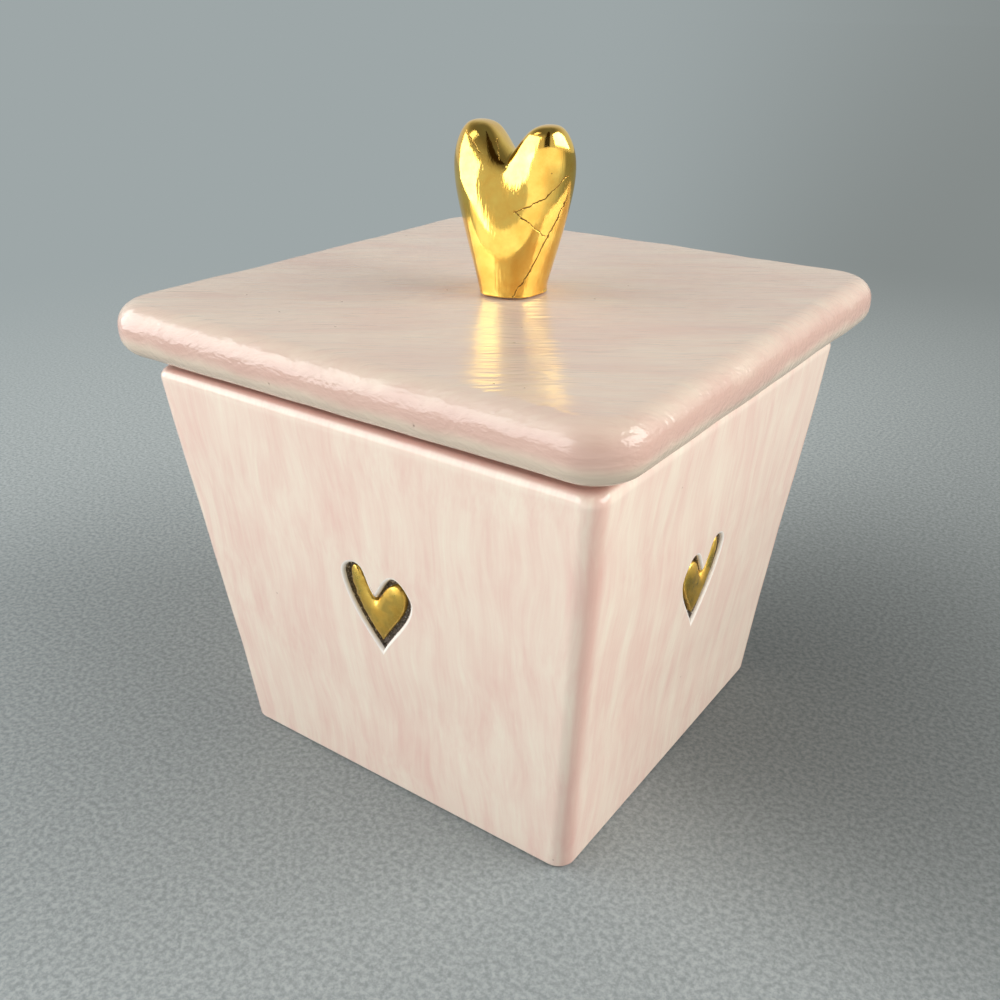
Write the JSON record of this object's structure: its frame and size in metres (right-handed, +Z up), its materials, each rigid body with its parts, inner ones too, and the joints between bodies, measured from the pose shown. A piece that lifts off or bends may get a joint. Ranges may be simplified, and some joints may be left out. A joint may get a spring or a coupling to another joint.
{
  "type": "trinket box",
  "caption": "Square slab-built ceramic trinket box that tapers to its foot, with a gilded pressed heart on each wall and a loose slab lid with a gilded heart-shaped knob.",
  "frame": {"origin": "middle of the flat underside of the base", "axes": "+Z up out of the box, -Y towards the front wall; the lid lifts along +Z"},
  "size_m": [0.095, 0.095, 0.1052],
  "materials": {
    "pink_glaze": "glossy, brushed pink and cream streaks",
    "lid_glaze": "glossy, brushed pink and cream streaks with pooled cream at the edges",
    "bare_clay": "matte, unglazed underside",
    "bright_gold": "mirror-bright fired gold lustre over glaze",
    "dull_gold": "satin fired gold lustre"
  },
  "bodies": {
    "box": {"base_slab": "bare_clay", "front_wall": "pink_glaze", "right_wall": "pink_glaze", "back_wall": "pink_glaze", "left_wall": "pink_glaze", "front_heart_fill": "dull_gold", "right_heart_fill": "dull_gold", "back_heart_fill": "dull_gold", "left_heart_fill": "dull_gold", "front_floor_coil": "pink_glaze", "right_floor_coil": "pink_glaze", "back_floor_coil": "pink_glaze", "left_floor_coil": "pink_glaze", "front_right_corner_coil": "pink_glaze", "back_right_corner_coil": "pink_glaze", "back_left_corner_coil": "pink_glaze", "front_left_corner_coil": "pink_glaze"},
    "lid": {"lid_slab": "lid_glaze", "front_lid_strip": "lid_glaze", "right_lid_strip": "lid_glaze", "back_lid_strip": "lid_glaze", "left_lid_strip": "lid_glaze", "heart_knob": "bright_gold"}
  },
  "joints": [
    {"name": "lid_lift", "type": "slide", "parent": "box", "child": "lid", "axis": [0, 0, 1], "range_m": [0, 0.06]}
  ]
}
